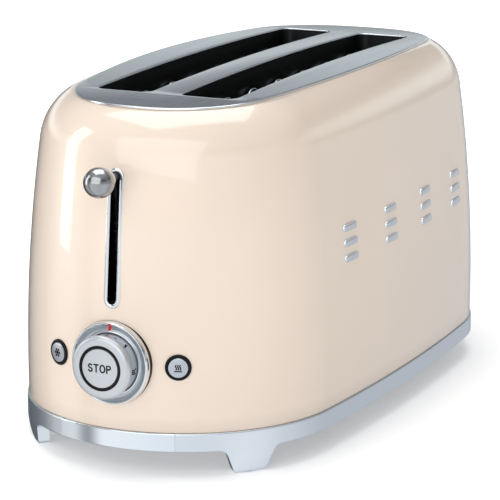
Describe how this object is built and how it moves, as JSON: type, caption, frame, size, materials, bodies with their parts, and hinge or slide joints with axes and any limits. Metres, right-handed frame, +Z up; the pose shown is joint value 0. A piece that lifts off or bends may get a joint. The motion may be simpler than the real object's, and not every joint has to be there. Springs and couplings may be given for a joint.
{
  "type": "pop up toaster",
  "caption": "Long-slot pop-up toaster: glossy oval enamelled shell, crowned steel top, ball lever, browning dial with a stop button, side buttons, base ring on low feet, rear crumb tray.",
  "frame": {"origin": "on the floor plane, under the middle of the shell and of the whole box", "axes": "+Z up; -Y out of the control end, with the lever, dial and buttons; +X to the right of a user facing the controls, the side with the row of raised bars"},
  "size_m": [0.1982, 0.433, 0.209],
  "materials": {
    "enamel": "gloss",
    "plate_steel": "satin",
    "polished_chrome": "polished",
    "satin_metal": "satin",
    "dark_steel": "satin",
    "galvanised": "satin",
    "nichrome": "satin",
    "mica": "matte",
    "black_plastic": "matte",
    "grey_plastic": "matte",
    "board_green": "satin",
    "red_mark": "gloss",
    "copper": "satin",
    "bush_bronze": "satin",
    "pad_rubber": "matte"
  },
  "bodies": {
    "root": {"shell": "enamel", "top_plate": "plate_steel", "slot_well_right": "dark_steel", "slot_well_left": "dark_steel", "base_ring": "satin_metal", "base_plate": "galvanised", "base_screws": "galvanised", "foot_pads": "pad_rubber", "tray_rails": "galvanised", "side_badges": "polished_chrome", "lever_slot_bezel": "polished_chrome", "dial_bezel": "polished_chrome", "dial_index": "red_mark", "dial_sensor": "grey_plastic", "button_rings": "black_plastic", "button_switches": "black_plastic", "control_board": "board_green", "board_carrier": "grey_plastic", "board_components": "black_plastic", "front_frame": "galvanised", "rear_frame": "galvanised", "reflector_left": "galvanised", "reflector_right": "galvanised", "guide_rods": "galvanised", "carriage_spring_left": "galvanised", "carriage_spring_right": "galvanised", "rod_bracket_lower": "galvanised", "rod_bracket_upper": "galvanised", "magnet_core": "galvanised", "magnet_coil": "copper", "cord_gland": "black_plastic", "terminal_block": "grey_plastic", "heater_board_outer_left": "mica", "heating_ribbon_outer_left": "nichrome", "heater_board_inner_left": "mica", "heating_ribbon_inner_left": "nichrome", "heater_board_inner_right": "mica", "heating_ribbon_inner_right": "nichrome", "heater_board_outer_right": "mica", "heating_ribbon_outer_right": "nichrome"},
    "lever_carriage": {"bread_rack_left": "galvanised", "bread_rack_right": "galvanised", "carriage_bracket": "galvanised", "carriage_bushings": "bush_bronze", "magnet_armature": "galvanised", "lever_stem": "galvanised", "lever_ball": "polished_chrome", "lever_collar": "satin_metal"},
    "dial": {"dial_knob": "satin_metal", "dial_ring": "black_plastic", "dial_sleeve": "grey_plastic"},
    "stop_button": {"stop_button": "satin_metal"},
    "defrost_button": {"defrost_button": "satin_metal"},
    "reheat_button": {"reheat_button": "satin_metal"},
    "crumb_tray": {"crumb_tray": "galvanised", "crumb_tray_front": "satin_metal"},
    "guard_outer_left": {"bread_guard_outer_left": "polished_chrome"},
    "guard_inner_left": {"bread_guard_inner_left": "polished_chrome"},
    "guard_inner_right": {"bread_guard_inner_right": "polished_chrome"},
    "guard_outer_right": {"bread_guard_outer_right": "polished_chrome"}
  },
  "joints": [
    {"name": "lever_slide", "type": "slide", "parent": "root", "child": "lever_carriage", "axis": [0, 0, -1], "range_m": [0, 0.068], "stiffness_N_per_m": 110, "springref_m": -0.045, "deforming": ["carriage_spring_left", "carriage_spring_right"]},
    {"name": "dial_turn", "type": "hinge", "parent": "root", "child": "dial", "pos_m": [0, -0.1958, 0.064], "axis": [0, -1, 0], "range_deg": [-30, 240]},
    {"name": "stop_press", "type": "slide", "parent": "root", "child": "stop_button", "axis": [0, 1, 0], "range_m": [0, 0.0015], "stiffness_N_per_m": 400, "springref_m": -0.001},
    {"name": "defrost_press", "type": "slide", "parent": "root", "child": "defrost_button", "axis": [0.4067, 0.9135, 0], "range_m": [0, 0.0011], "stiffness_N_per_m": 400, "springref_m": -0.001},
    {"name": "reheat_press", "type": "slide", "parent": "root", "child": "reheat_button", "axis": [-0.4067, 0.9135, 0], "range_m": [0, 0.0011], "stiffness_N_per_m": 400, "springref_m": -0.001},
    {"name": "crumb_tray_slide", "type": "slide", "parent": "root", "child": "crumb_tray", "axis": [0, 1, 0], "range_m": [0, 0.335]},
    {"name": "guard_outer_left_tilt", "type": "hinge", "parent": "root", "child": "guard_outer_left", "pos_m": [-0.0428, 0, 0.062], "axis": [0, 1, 0], "range_deg": [0, 3.2]},
    {"name": "guard_inner_left_tilt", "type": "hinge", "parent": "root", "child": "guard_inner_left", "pos_m": [-0.0114, 0, 0.062], "axis": [0, -1, 0], "range_deg": [0, 3.2]},
    {"name": "guard_inner_right_tilt", "type": "hinge", "parent": "root", "child": "guard_inner_right", "pos_m": [0.0114, 0, 0.062], "axis": [0, 1, 0], "range_deg": [0, 3.2]},
    {"name": "guard_outer_right_tilt", "type": "hinge", "parent": "root", "child": "guard_outer_right", "pos_m": [0.0428, 0, 0.062], "axis": [0, -1, 0], "range_deg": [0, 3.2]}
  ],
  "couplings": [
    {"joint": "guard_outer_left_tilt", "follows": "lever_slide", "rad_per_m": 0.81876},
    {"joint": "guard_inner_left_tilt", "follows": "lever_slide", "rad_per_m": 0.81876},
    {"joint": "guard_inner_right_tilt", "follows": "lever_slide", "rad_per_m": 0.81876},
    {"joint": "guard_outer_right_tilt", "follows": "lever_slide", "rad_per_m": 0.81876}
  ]
}
